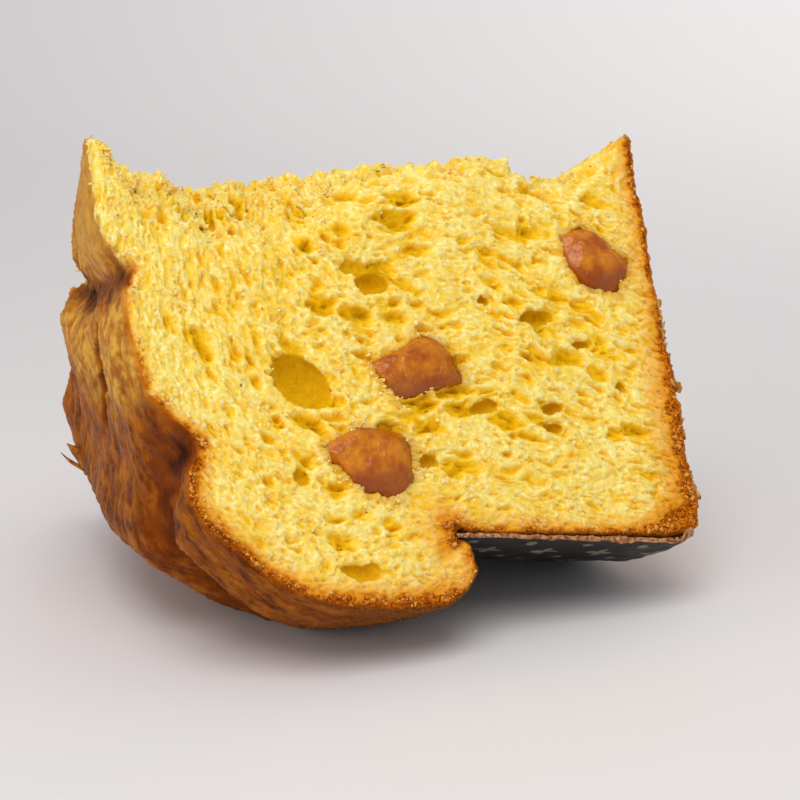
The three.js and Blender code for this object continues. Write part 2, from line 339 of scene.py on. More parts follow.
# %% Lines of the rising dough
BEND_HEIGHT, DOME_HEIGHT, LOAF_RADIUS = 70, 56, 100


def dough_coordinates(points):
    """Along the stretch, outwards across it, and round the loaf, in mm."""
    height, radius, angle = loaf_coordinates(points)
    sink = 0.35 * np.clip(45 - height, 0, None) * np.clip((94 - radius) / 30, 0, 1)
    above = np.clip(height - BEND_HEIGHT, 0, None) / DOME_HEIGHT
    out = np.clip(radius - sink, 1, None) / LOAF_RADIUS
    level = (above ** 3 + out ** 3) ** (1 / 3)
    along = np.where(above > 0, BEND_HEIGHT + np.arctan2(above, out) * level * 78, height)
    return np.stack((along, level * LOAF_RADIUS, angle * radius), 1)


# %% [markdown]
# Two patterns make the crumb. Smooth noise makes it uneven, and bubbles make its cells: each point
# looks at the nearest cells of a grid, and every cell may hold a bubble of its own size. The random
# values come from whole numbers by fixed arithmetic, so each run gives the same crumb.


# %% Noise and bubbles
def hashed(cells, seed):
    """A fixed random number between 0 and 1 for every whole-numbered cell."""
    primes = np.array((73856093, 19349663, 83492791), np.int64)
    mixed_up = (cells.astype(np.int64) * primes).sum(1) + seed * 7919
    mixed_up = (mixed_up ^ (mixed_up >> 13)) * 1274126177 & 0xFFFFFFFF
    mixed_up = (mixed_up ^ (mixed_up >> 16)) * 2246822519 & 0xFFFFFFFF
    return ((mixed_up ^ (mixed_up >> 15)) & 0xFFFFFF) / 0x1000000


def noise(points, size, seed):
    """Smooth noise between -1 and 1 with features of about size, in the points' own units."""
    scaled = points / size
    cell = np.floor(scaled)
    part = scaled - cell
    part = part * part * (3 - 2 * part)
    total = np.zeros(len(points))
    for corner in np.ndindex(2, 2, 2):
        weight = np.prod(np.where(corner, part, 1 - part), axis=1)
        total += weight * hashed(cell + corner, seed)
    return total * 2 - 1


def bubbles(points, size, seed, filled, evenness=0.5):
    """Depth inside the nearest bubble, from 0 at its edge to about 1, in a grid of cells of that size."""
    scaled = points / size
    cell = np.floor(scaled)
    deepest = np.zeros(len(points))
    for step in np.ndindex(3, 3, 3):
        near = cell + step - 1
        centre = near + 0.15 + 0.7 * np.stack([hashed(near, seed + n) for n in (1, 2, 3)], 1)
        size_here = hashed(near, seed + 4)
        radius = 0.75 * (evenness + (1 - evenness) * size_here)
        radius = np.where(hashed(near, seed + 5) < filled, radius, 1e-3)
        inside = 1 - ((scaled - centre) ** 2).sum(1) / radius ** 2
        deepest = np.maximum(deepest, np.clip(inside, 0, 1) * radius / 0.75)
    return deepest


# %% [markdown]
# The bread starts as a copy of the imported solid. A voxel remesh gives it small even faces, about a third
# of a millimetre wide, and a little smoothing takes away the flat triangles of the solid.

# %% Bread mesh
VOXEL = 0.36

bread = merged_copy("bread", "bread_dressed")
solid_points = read(bread.data.vertices, "co", 3) / MM
solid_faces = read(bread.data.polygons, "vertices", 3)
apply_modifier(bread, "REMESH", mode="VOXEL", voxel_size=VOXEL * MM)
apply_modifier(bread, "SMOOTH", factor=0.5, iterations=6)
print("bread faces after the remesh:", len(bread.data.polygons))

# %% [markdown]
# The largest open cells are already hollows of the solid, with smooth walls. Their places are repeated
# here from its values, so that the fine crumb stays off their walls and their depth gets a painted gold
# shade.

# %% Open cells of the solid
FRONT_CELLS = np.array([
    [86.4, 63.6, 7.4, 5.2, 5, -35], [73.1, 38.6, 4.2, 2.2, 1.6, 5], [69.3, 41.8, 4.6, 2.8, 4, 10],
    [61.4, 78.9, 2.9, 1.8, 3, 25], [32.2, 46, 5.2, 1.9, 3.2, 8], [31.1, 66, 3, 1.6, 3, 10],
    [22.2, 51.4, 2.9, 1.3, 2.6, 8], [14, 60.4, 1.6, 1.5, 2.4, 0], [47, 66.6, 4, 1.9, 2.6, 15],
    [31.7, 70.4, 3, 1.5, 2.6, 12], [44.3, 43.3, 2, 1.4, 2.4, 0], [77.8, 101.4, 5.4, 1.9, 1.8, -8],
    [88.2, 83, 2.2, 1.7, 2.6, -40],
])
BACK_CELLS = np.array([
    [80, 52, 6.6, 3.6, 4.2, -30], [58, 46, 4.8, 2.2, 3, 5], [38, 58, 5.4, 2, 3, 8],
    [24, 74, 3.2, 1.6, 2.6, 5], [66, 92, 4.6, 2, 2.6, -12], [96, 70, 4, 2.4, 3, -50],
    [20, 40, 3, 1.6, 2.6, 0], [48, 80, 3.6, 1.8, 2.8, 10], [102, 46, 3.4, 1.8, 2.6, -50],
])


def inside_cells(height, radius, below, cells):
    """1 on the wall of an open cell, below the cut face, and 0 outside it."""
    inside = np.zeros(len(height))
    for middle, out_at, half_length, half_width, depth, turn in cells:
        turn = math.radians(turn)
        x, y = height - middle, radius - out_at
        x, y = x * math.cos(turn) + y * math.sin(turn), y * math.cos(turn) - x * math.sin(turn)
        reach = (x / half_length) ** 2 + (y / half_width) ** 2 + (below / depth) ** 2
        inside = np.maximum(inside, 1 - smooth(reach, 1.3, 1.9))
    return inside * smooth(below, 0.4, 1.2)


# %% [markdown]
# Which part of the surface is crust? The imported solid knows: its crust faces lie on the outside of the
# loaf, and its cut and torn faces don't. The distance of each point from the nearest crust face then
# gives both the crust and the baked rim beside it.

# %% Find the crust
LOAF_OUTLINE = np.array([
    [1.5, 0], [1.8, 30], [0.6, 55], [-0.4, 76], [-1.4, 86], [0.2, 90.6],
    [2.6, 92.2], [7, 93.7], [28, 93.8], [50, 93.8],
    [57.6, 92.4], [54.6, 95], [52.2, 98.5], [53, 102.5], [58, 106.4], [66, 108], [77, 108.7],
    [88, 107.3], [96, 103.4], [103, 98.7], [109.6, 92.5], [111.6, 84],
    [113.6, 76], [117, 68], [120, 59], [120.8, 50], [122, 40], [124.6, 28], [125.8, 18], [126, 0],
])
CRUST_REACH, REACH_BY_THE_CUTS = 6.5, 4


def outline_distance(height, radius):
    """Distance from the loaf's outline, and the outline's outward direction there."""
    best = np.full(len(height), np.inf)
    outward = np.zeros((len(height), 2))
    for start, end in zip(LOAF_OUTLINE[:-1], LOAF_OUTLINE[1:]):
        side = end - start
        rel = np.stack((height - start[0], radius - start[1]), 1)
        share = np.clip(rel @ side / (side @ side), 0, 1)
        away = np.linalg.norm(rel - share[:, None] * side, axis=1)
        nearer = away < best
        best[nearer] = away[nearer]
        outward[nearer] = np.array((-side[1], side[0])) / np.linalg.norm(side)
    return best, outward


def cut_distances(points):
    """How far inside the front and the back cut plane each point is."""
    _, radius, angle = loaf_coordinates(points)
    return radius * np.sin(FRONT_CUT - angle), radius * np.sin(angle - BACK_CUT)


corners = solid_points[solid_faces]
middles = corners.mean(1)
normals = np.cross(corners[:, 1] - corners[:, 0], corners[:, 2] - corners[:, 0])
normals /= np.linalg.norm(normals, axis=1, keepdims=True) + 1e-12
height, radius, angle = loaf_coordinates(middles)
away, outward = outline_distance(height, radius)
radial = DOWN * np.cos(angle)[:, None] + FORWARD * np.sin(angle)[:, None]
facing = (normals @ AXIS) * outward[:, 0] + (normals * radial).sum(1) * outward[:, 1]
from_front, from_back = cut_distances(middles)
front_normal = FORWARD * math.cos(FRONT_CUT) - DOWN * math.sin(FRONT_CUT)
back_normal = -FORWARD * math.cos(BACK_CUT) + DOWN * math.sin(BACK_CUT)
flat_on_cut = np.maximum(
    np.abs(normals @ front_normal) * (from_front < 5), np.abs(normals @ back_normal) * (from_back < 5))
in_cells = np.maximum(inside_cells(height, radius, from_front, FRONT_CELLS),
                      inside_cells(height, radius, from_back, BACK_CELLS)) > 0.01
reach = np.where(np.minimum(from_front, from_back) < 2.4, REACH_BY_THE_CUTS, CRUST_REACH)
is_crust = (away < reach) & (facing > 0.3) & (flat_on_cut < 0.75) & ~in_cells
is_torn = ~is_crust & ~in_cells & (flat_on_cut < 0.6) & (np.minimum(from_front, from_back) > 0.8)
print("crust faces:", int(is_crust.sum()), "torn faces:", int(is_torn.sum()), "of", len(is_crust))

crust_tree = BVHTree.FromPolygons(solid_points.tolist(), solid_faces[is_crust].tolist())
points = points_of(bread)
to_crust = np.array([crust_tree.find_nearest(p)[3] for p in points.tolist()])
crust = 1 - smooth(to_crust, 0.35, 0.85)
print("share of crust:", round(float(crust.mean()), 3))

# %% [markdown]
# Three marks on the dome are lines seen along the loaf's axis: the deep crease below the pale ear, the
# fold beside the skirt, and the hollow where a flake of skin came off. Each is a row of angles and
# distances from the axis, so the distance of any point from it is easy to find. Along all three the
# crust gets painted shade; the hollow is also pressed into the surface.


# %% Creases of the dome
def plan_point(angle_deg, distance):
    turn = math.radians(angle_deg)
    return np.array((distance * math.sin(turn), distance * math.cos(turn)))


def line_distance(line, plan):
    """Distance in mm from a line given as [angle, radius], seen along the loaf's axis."""
    best = np.full(len(plan), np.inf)
    for start, end in zip(line[:-1], line[1:]):
        start, side = plan_point(*start), plan_point(*end) - plan_point(*start)
        share = np.clip((plan - start) @ side / (side @ side), 0, 1)
        best = np.minimum(best, np.linalg.norm(plan - start - share[:, None] * side, axis=1))
    return best


CREASE = [[36, 42.5], [22, 44.5], [11, 43.5], [-10, 48], [-34, 56]]
FOLD = [[38, 77], [28.7, 79], [22.7, 85], [19, 92], [18, 99], [15, 106]]
HOLLOW = [[10, 53], [6, 58], [3, 68]]
print("marks on the dome:", len(CREASE), len(FOLD), len(HOLLOW), "points")

# %% [markdown]
# The crust is a stretched skin: fine streaks run down over the dome, and the skirt that hung over the
# case is dry and speckled. The crumb gets three sizes of bubbles, flatter beside the crust, and a fuzz
# of small torn walls. All of it moves the points along the surface's own direction.

# %% Crumb and crust relief
height, radius, angle = loaf_coordinates(points)
from_front, from_back = cut_distances(points)
below_cut = np.minimum(from_front, from_back)
dough = dough_coordinates(points)
warp = np.stack([noise(points, 5.5, seed) for seed in (61, 62, 63)], 1)
torn = np.stack([noise(points, 2.1, seed) for seed in (64, 65, 66)], 1)
dough = dough + warp * (1.8, 1.1, 1.1) + torn * (1.0, 0.65, 0.65)

open_crumb = smooth(to_crust, 2, 16)
patches = noise(dough, (16, 9, 9), 19) * 0.5 + 0.5
large = bubbles(dough, (8.0, 3.9, 4.4), 11, 0.38, 0.35) * open_crumb
middle_sized = bubbles(dough, (4.4, 1.9, 2.3), 23, 0.5, 0.35)
middle_sized = middle_sized * (0.5 + 0.5 * open_crumb) * (0.55 + 0.7 * patches)
small = bubbles(dough, (2.2, 1.0, 1.2), 37, 0.6, 0.35) * (1.25 - 0.5 * patches)
tiny = bubbles(dough, (1.25, 0.75, 0.8), 43, 0.6, 0.4)
strands = 1 - np.abs(noise(dough, (4.6, 1.0, 1.3), 47)) * 2
fuzz = noise(points, 0.8, 71) * 0.6 + noise(points, 0.5, 72) * 0.4
in_cell = np.maximum(inside_cells(height, radius, from_front, FRONT_CELLS),
                     inside_cells(height, radius, from_back, BACK_CELLS))
pit = np.clip(1.25 * large + 0.8 * middle_sized + 0.4 * small + 0.2 * tiny - 0.06 * strands, 0, 1.6)
crumb_out = (0.45 - 2.4 * large - 1.6 * middle_sized - 0.8 * small - 0.4 * tiny
             + 0.08 * strands + 0.26 * fuzz)
tufts = noise(points, 2.8, 74) * 0.7 + noise(points, 1.2, 75) * 0.5
tufted = smooth(below_cut, 0.8, 3) * smooth(60 - radius, 0, 12) * smooth(to_crust, 0.6, 2.5)
crumb_out = crumb_out + 2.2 * np.clip(tufts, -0.3, 1) * tufted
crumb_out = crumb_out * (1 - 0.85 * in_cell)

skin_place = np.stack((angle * radius / 1.5, height / 16, radius / 16), 1)
streaks = noise(skin_place, 1, 81) * 0.6 + noise(skin_place * 2.3, 1, 82) * 0.4
on_dome = smooth(height, 60, 90)
wall = (height < CASE_TOP) & (radius > 86)
lumps = noise(points, 3.2, 83) * 0.5 + noise(points, 1.3, 84) * 0.5
plan = np.stack((radius * np.sin(angle), radius * np.cos(angle)), 1)
peeled = line_distance(HOLLOW, plan) + 1.3 * noise(points, 3.4, 87) + 0.6 * noise(points, 1.2, 88)
peeled = (1 - smooth(peeled, 2.6, 3.4)) * on_dome
crust_out = 0.24 * on_dome * streaks + (0.2 + 0.1 * (1 - on_dome)) * lumps - 1.1 * peeled
swollen = 1.6 * smooth(radius, 76, 90) * smooth(height, 84, 96) * (1 - smooth(angle, 0.14, 0.38))
crust_out = crust_out + swollen
crust_out = np.where(wall, -0.08 - 0.06 * lumps, crust_out)
frayed = smooth(height, 106, 113) * (1 - smooth(radius, 39, 46))
frayed = frayed * (1 - smooth(from_front + 1.6 * noise(points, 2.4, 86), 1.5, 4.5))
crust = crust * (1 - frayed)
fade = np.maximum(smooth(to_crust, 0.25, 1.3), frayed)
grains = 0.45 * np.abs(noise(points, 0.95, 85)) * bump(to_crust - 0.6, 1.0)
out = crust_out * (1 - fade) + crumb_out * fade + np.where(wall, 0, grains)

# %% [markdown]
# The candied pieces sit in pockets of the solid. The crumb must not swell into them, so the relief
# fades away inside a pocket, and a little loose crumb leans over its edge.

# %% Keep the pockets clear
fruit_names = [name for name in sorted(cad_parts) if name.startswith("candied")]
fruit_points, fruit_faces = [], []
for name in fruit_names:
    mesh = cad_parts[name].data
    offset = sum(len(p) for p in fruit_points)
    fruit_points.append(read(mesh.vertices, "co", 3) / MM)
    fruit_faces.append(read(mesh.polygons, "vertices", 3) + offset)
fruit_tree = BVHTree.FromPolygons(
    np.concatenate(fruit_points).tolist(), np.concatenate(fruit_faces).tolist())
to_fruit = np.full(len(points), 9.0)
beside = np.nonzero((below_cut < 14) & (to_crust > 2))[0]
to_fruit[beside] = [fruit_tree.find_nearest(p)[3] for p in points[beside].tolist()]
in_pocket = (1 - smooth(to_fruit, 0.5, 1.4)) * smooth(below_cut, 0.6, 1.6)
leaning = 0.55 * bump(to_fruit, 0.9) * (1 - in_pocket)
out = out * (1 - in_pocket) + leaning

vertex_normals = normals_of(bread)
points = points + vertex_normals * out[:, None]
points[:, 2] = np.maximum(points[:, 2], 0)
move_points(bread, points)
bread.data.update()

# %% [markdown]
# The finish of the bread is drawn by a few numbers on each point: how much it is crust, how baked the
# crumb beside it is, how deep it lies in a cell, which sets the crumb's painted shade, and where the
# crust is pale, darkened with painted shade in its creases, dark along its cut edge, or matte.


# %% Numbers for the finish
def keep(mesh, name, values):
    field = mesh.attributes.new(name, "FLOAT", "POINT")
    field.data.foreach_set("value", np.clip(values, 0, 1).astype(np.float32))


def kept(mesh, name):
    values = np.empty(len(mesh.vertices), np.float32)
    mesh.attributes[name].data.foreach_get("value", values)
    return values


uneven = noise(points, 7, 91) * 0.6 + noise(points, 2.6, 92) * 0.4
base_side = 1 - smooth(height, 6, 16)
wall_side = smooth(radius, 80, 92) * (1 - on_dome)
ragged = to_crust + 0.9 * noise(points, 2.2, 93) + 0.55 * noise(points, 0.8, 94)
skirt_side = smooth(radius, 64, 86) * smooth(height, 55, 61)
low_base = base_side * smooth(radius, 30, 80)
corner_side = base_side * smooth(radius, 78, 92)
rind_depth = (0.65 + 1.2 * base_side + 1.6 * low_base + 0.3 * wall_side + 1.5 * skirt_side
              + 2.2 * corner_side)
bake_reach = 0.8 + 1.6 * base_side + 3.6 * low_base + 1.3 * wall_side + 0.9 * skirt_side
rind = 1 - smooth(ragged, rind_depth - 0.5, rind_depth + 0.4)
baked = np.exp(-np.clip(ragged - rind_depth, 0, None) / (bake_reach * (1 + 0.4 * uneven)))
glow = bump(below_cut - 0.2, 1.1 + 0.5 * uneven) * (1 - 0.75 * smooth(radius, 84, 92))
# Painted shade: the crust is darkened along the crease, the fold and the hollow, where shade falls.
crease_shade_and_crust_line = bump(line_distance(CREASE, plan) + uneven, 3.6)
crease_shade_and_crust_line = crease_shade_and_crust_line + bump(line_distance(FOLD, plan) + 1.5 * uneven, 5.5)
crease_shade_and_crust_line = crease_shade_and_crust_line * smooth(height, 70, 84) * (0.75 + 0.5 * noise(points, 3.2, 96))
crease_shade_and_crust_line = np.maximum(crease_shade_and_crust_line, 0.3 * peeled) * crust
crust_line = bump(ragged - 0.45, 0.5) * (1 - crust) * np.clip(skirt_side + base_side, 0, 1)
pale = (1 - smooth(radius + 6 * uneven, 58, 74)) * on_dome * (1 - peeled)
ear = 0.6 * smooth(height + 4 * uneven, 113, 121) * (1 - smooth(radius, 34, 43))
finish = {
    "open": in_cell,
    "ear": ear,
    "crust": crust,
    "rind": rind * (1 - frayed),
    "baked": baked * (1 - frayed),
    "glow": glow,
    "pit": np.maximum(pit / 1.3 * fade, 0.85 * in_cell),
    # Painted shade in the creases, joined with the crust's own dark cut edge beside the crumb.
    "crease_shade_and_crust_line": np.maximum(crease_shade_and_crust_line, 0.55 * crust_line) * (1 - frayed),
    "pale": pale,
    "skirt": 1 - smooth(height, 70, 92),
    "base": 1 - smooth(height + 1.5 * uneven, 3, 7),
    "stained": 1 - smooth(to_fruit, 0.4, 2.2),
}
for name, values in finish.items():
    keep(bread.data, name, values)
keep(bread.data, "original", np.ones(len(points)))
DOUGH_FIELDS = ("dough_x", "dough_y", "dough_z")
for axis, name in enumerate(DOUGH_FIELDS):
    field = bread.data.attributes.new(name, "FLOAT", "POINT")
    field.data.foreach_set("value", (dough[:, axis] * MM).astype(np.float32))
bread_points, bread_height = points, height

# %% [markdown]
# A piece with a million faces is slow to handle, so the bread is split by two planes just behind its cut
# faces. A box over the space in front of each plane cuts both parts with the Boolean modifier, which
# also closes them. Each part then keeps as many faces as a piece may have.

# %% Split the bread
SLAB = 5.5
BOX_SIZE = 400
MOST_TRIANGLES = 190000


def cut_off(piece, name, outwards):
    """Cuts the slab behind one cut face off the piece and returns it."""
    bpy.ops.object.select_all(action="DESELECT")
    middle = LOAF_BASE + outwards * (BOX_SIZE / 2 - SLAB)
    turn = Vector((0, 0, 1)).rotation_difference(Vector(outwards)).to_euler()
    bpy.ops.mesh.primitive_cube_add(size=BOX_SIZE * MM, location=middle * MM, rotation=turn)
    space = bpy.context.object
    slab = piece.copy()
    slab.data = piece.data.copy()
    slab.name = name
    bpy.context.scene.collection.objects.link(slab)
    apply_modifier(slab, "BOOLEAN", object=space, operation="INTERSECT", solver="MANIFOLD")
    apply_modifier(piece, "BOOLEAN", object=space, operation="DIFFERENCE", solver="MANIFOLD")
    bpy.data.objects.remove(space)
    return slab


whole_values = {name: kept(bread.data, name) for name in (*finish, *DOUGH_FIELDS)}
whole_tree = KDTree(len(points))
for number, point in enumerate(points.tolist()):
    whole_tree.insert(point, number)
whole_tree.balance()
bread.name = "bread_middle"
bread_front = cut_off(bread, "bread_front", front_normal)
bread_back = cut_off(bread, "bread_back", back_normal)
bread_parts = (bread_front, bread, bread_back)
for piece in bread_parts:
    piece.data.calc_loop_triangles()
    triangles = len(piece.data.loop_triangles)
    if triangles > MOST_TRIANGLES:
        apply_modifier(piece, "DECIMATE", ratio=MOST_TRIANGLES / triangles)
    new_points = np.nonzero(kept(piece.data, "original") < 0.99)[0]
    places = read(piece.data.vertices, "co", 3)[new_points] / MM
    nearest = [whole_tree.find(place)[1] for place in places.tolist()]
    for name in (*finish, *DOUGH_FIELDS):
        values = kept(piece.data, name)
        values[new_points] = whole_values[name][nearest]
        piece.data.attributes[name].data.foreach_set("value", values)
    print(piece.name, "triangles:", triangles, "points made by the cut:", len(new_points))

# %% [markdown]
# Baked egg dough: the crumb is soft and lets light through, pale on the torn walls with a painted
# highlight on their raised grain, golden with painted shade in its cells, and it browns within a few
# millimetres of the crust. The crust is a thin glossy skin on the dome, with painted shade in its creases,
# and dry and speckled on the skirt. One material holds both, because they run into each other.

# %% Baked egg dough
baked_dough, tree = new_material("baked egg dough")
place = place_on(tree)
along_dough = add(tree, "CombineXYZ", X=measured(tree, "dough_x"), Y=measured(tree, "dough_y"),
                  Z=measured(tree, "dough_z"))
pit_depth_for_shade, crust_here, rind_here = measured(tree, "pit"), measured(tree, "crust"), measured(tree, "rind")
fine = grain(tree, place, 0.5, 2)
coarse = grain(tree, place, 3.5, 1)
torn_grain = grain(tree, place, 0.75, 2)
pore_depth = ramp(tree, grain(tree, along_dough, 1.5, 1, (1.3, 1, 1.1)), 0.5, 0.72)

# The crumb: cream on the torn walls with a painted highlight on their raised grain, and painted shade:
# gold in the cells, amber in the deepest ones
wall_tone = mixed(tree, ramp(tree, coarse, 0.35, 0.65), "#ffd044", "#ffe276")
# Painted highlight: the raised torn grain is paler cream.
wall_tone = mixed(tree, ramp(tree, torn_grain, 0.46, 0.68, 0, 0.85), wall_tone, "#fff4bc")
warm_patch = ramp(tree, grain(tree, along_dough, 6, 2, (1.8, 1, 1)), 0.5, 0.68, 0, 0.5)
wall_tone = mixed(tree, warm_patch, wall_tone, "#fac828")
# Painted shade: the crumb deeper in a cell turns gold, and amber in the deepest ones.
gold_shade = mixed(tree, ramp(tree, coarse, 0.3, 0.7), "#f6be08", "#ffd028")
deep_shade = mixed(tree, ramp(tree, fine, 0.3, 0.7), "#cc9600", "#deac04")
hollow = maths(tree, "MULTIPLY_ADD", pore_depth, 0.22, pit_depth_for_shade)
crumb_colour = mixed(tree, ramp(tree, hollow, 0.06, 0.45), wall_tone, gold_shade)
crumb_colour = mixed(tree, ramp(tree, hollow, 0.42, 0.95), crumb_colour, deep_shade)
crumb_colour = mixed(tree, ramp(tree, measured(tree, "stained"), 0, 1, 0, 0.55), crumb_colour, "#c98a10")

speck = ramp(tree, grain(tree, place, 1.5, 0), 0.85, 0.89, 0, 0.75)
crumb_colour = mixed(tree, speck, crumb_colour, "#7a4208")

# The rind: the crust seen from its cut side, toasted orange with dark and pale grains
toast = mixed(tree, ramp(tree, measured(tree, "baked"), 0.02, 0.9, 0, 0.95), crumb_colour, "#e8981a")
rind_tone = mixed(tree, ramp(tree, fine, 0.36, 0.6), "#7c3300", "#d8790a")
rind_tone = mixed(tree, ramp(tree, grain(tree, place, 1.1, 2), 0.6, 0.68, 0, 0.75), rind_tone, "#e9b25c")
toast = mixed(tree, rind_here, toast, rind_tone)

# The skin of the dome has streaks where it stretched; the skirt is dry and speckled
streak = grain(tree, along_dough, 1.7, 3, (7, 3, 1))
blotch = grain(tree, place, 5, 3)
skin = mixed(tree, ramp(tree, streak, 0.34, 0.68), "#682c00", "#a45800")
skin = mixed(tree, ramp(tree, blotch, 0.5, 0.64, 0, 0.7), skin, "#bc6c04")
skin = mixed(tree, ramp(tree, blotch, 0.44, 0.34, 0, 0.7), skin, "#4c1c00")
mottle = grain(tree, place, 2.6, 2)
pale_skin = mixed(tree, ramp(tree, mottle, 0.36, 0.64), "#b0660a", "#e0a840")
pale_skin = mixed(tree, ramp(tree, blotch, 0.47, 0.32, 0, 0.8), pale_skin, "#904600")
pale_skin = mixed(tree, measured(tree, "ear"), pale_skin, "#d0963a")
skin = mixed(tree, ramp(tree, measured(tree, "pale"), 0.1, 0.8), skin, pale_skin)
speckle = mixed(tree, ramp(tree, grain(tree, place, 0.55, 2), 0.36, 0.64), "#522400", "#945000")
speckle = mixed(tree, ramp(tree, fine, 0.62, 0.7, 0, 0.5), speckle, "#c8863a")
skin = mixed(tree, measured(tree, "skirt"), skin, speckle)
base_tone = mixed(tree, ramp(tree, grain(tree, place, 9, 3), 0.36, 0.64), "#925010", "#c07a22")
base_tone = mixed(tree, ramp(tree, fine, 0.52, 0.7, 0, 0.6), base_tone, "#e0b060")
skin = mixed(tree, measured(tree, "base"), skin, base_tone)
skin = mixed(tree, ramp(tree, measured(tree, "glow"), 0.2, 1, 0, 0.6), skin, "#bc6a06")
surface = mixed(tree, crust_here, toast, skin)
# Painted shade: the creases of the dome are darkened, near black in the deepest; the thin cut edge of the
# crust is its own dark colour.
surface = mixed(tree, ramp(tree, measured(tree, "crease_shade_and_crust_line"), 0, 0.5, 0, 0.75), surface, "#8a3a04")
surface = mixed(tree, ramp(tree, measured(tree, "crease_shade_and_crust_line"), 0.25, 1, 0, 0.92), surface, "#300c00")

woolly = maths(tree, "MULTIPLY_ADD", pore_depth, -0.8, torn_grain)
woolly = maths(tree, "MULTIPLY_ADD", fine, 0.5, woolly)
rough_wall = ramp(tree, measured(tree, "open"), 0, 1, 1, 0.12)
woolly = maths(tree, "MULTIPLY", woolly, rough_wall)
skin_height = maths(tree, "MULTIPLY_ADD", fine, 0.5, streak)
height_here = add(tree, "Mix", {"data_type": "FLOAT"}, _0=crust_here, _2=woolly, _3=skin_height)
relief = add(tree, "Bump", Height=height_here, Distance=0.19 * MM, Strength=1.0)
rough = ramp(tree, crust_here, 0, 1, 0.9, 0.45)
shade(tree, Base_Color=surface, Roughness=rough, Normal=relief, Specular_IOR_Level=0.07,
      Subsurface_Weight=0.55, Subsurface_Radius=(1.0, 0.9, 0.4), Subsurface_Scale=1.3 * MM)
for piece in bread_parts:
    piece.data.materials.clear()
    piece.data.materials.append(baked_dough)
    finish_piece(piece, "crumb_and_crust", "bread")

# %% [markdown]
# Candied peel is soft and sticky: cut chunks with blunt edges, a fine wrinkle and a moist gloss. Each
# chunk starts from its imported solid and gets small even faces. Pressing its points back to a few leaning
# planes makes the flat cuts, and smoothing blunts their edges. The side that lies lower gets painted
# shade.

# %% Candied peel
candied_peel, tree = new_material("candied citrus peel in syrup")
place = place_on(tree)
cloudy = grain(tree, place, 4.5, 3)
wrinkle = grain(tree, place, 1.1, 2)
amber = mixed(tree, ramp(tree, cloudy, 0.38, 0.62), "#ac5000", "#d8820c")
amber = mixed(tree, ramp(tree, wrinkle, 0.4, 0.7, 0, 0.3), amber, "#8a4000")
# Painted shade: the lower side of each chunk is a darker amber.
amber = mixed(tree, ramp(tree, measured(tree, "painted_low_shade"), 0, 1, 0, 0.75), amber, "#8e3e00")
relief = add(tree, "Bump", Height=wrinkle, Distance=0.3 * MM, Strength=1.0)
shade(tree, Base_Color=amber, Roughness=0.16, IOR=1.42, Normal=relief,
      Subsurface_Weight=0.3, Subsurface_Radius=(1.0, 0.45, 0.1), Subsurface_Scale=2 * MM)

PEEL_VOXEL = 0.4

# Each cut: its lean from the face of the bread, its turn round that face, and how far out it lies
PEEL_CUTS = ((38, -100, 0.74), (34, 150, 0.80), (30, 20, 0.88), (36, 80, 0.84), (8, -60, 0.93))
for number, node in enumerate(fruit_names):
    piece = merged_copy(node, f"peel_{number + 1}")
    apply_modifier(piece, "REMESH", mode="VOXEL", voxel_size=PEEL_VOXEL * MM)
    points = points_of(piece)
    face = front_normal if number < 3 else back_normal
    across = np.cross(face, (0, 0, 1)) / np.linalg.norm(np.cross(face, (0, 0, 1)))
    upwards = np.cross(across, face)
    middle = (points.min(0) + points.max(0)) / 2
    reach = (points - middle) @ face
    points = points + face * (1.3 * smooth(reach, 0, reach.max()))[:, None]
    for lean, turn, share in PEEL_CUTS:
        lean, turn = math.radians(lean), math.radians(turn + 17 * number)
        sideways = across * math.cos(turn) + upwards * math.sin(turn)
        cut = face * math.cos(lean) + sideways * math.sin(lean)
        reach = (points - middle) @ cut
        points = points - cut * np.clip(reach - share * reach.max(), 0, None)[:, None]
    move_points(piece, points)
    apply_modifier(piece, "SMOOTH", factor=0.5, iterations=7)
    points = points_of(piece)
    outwards = normals_of(piece)
    dents = 0.3 * noise(points, 4.5, 101 + number) + 0.13 * noise(points, 1.5, 121 + number)
    points = points + outwards * (dents + 0.15)[:, None]
    move_points(piece, points)
    # Painted shade: how low each point lies on its chunk, for a darker amber below.
    low = (middle - points) @ upwards + 1.5 * noise(points, 3.5, 141 + number)
    keep(piece.data, "painted_low_shade", smooth(low, 0.5, 5.5))
    piece.data.materials.append(candied_peel)
    finish_piece(piece, "candied_fruit", node)

# %% [markdown]
# The case is dark printed paper, brown kraft underneath, cut through by the bread knife. A grid is laid
# round the loaf's wall in its own height and angle, so its map is in real millimetres, and then it gets
# its thickness. The cut edge shows the kraft, a little frayed.

# %% Paper case
CASE_RADIUS, CASE_BOTTOM, CASE_THICKNESS, CASE_CRINKLE = 94.6, 2.5, 0.9, 0.35
CASE_FOOT_HEIGHT, CASE_FOOT_INSET = 3.5, 1.6
CASE_START, CASE_END = math.radians(-30.25), math.radians(33.3)
CASE_COLUMNS, CASE_ROWS = 220, 96

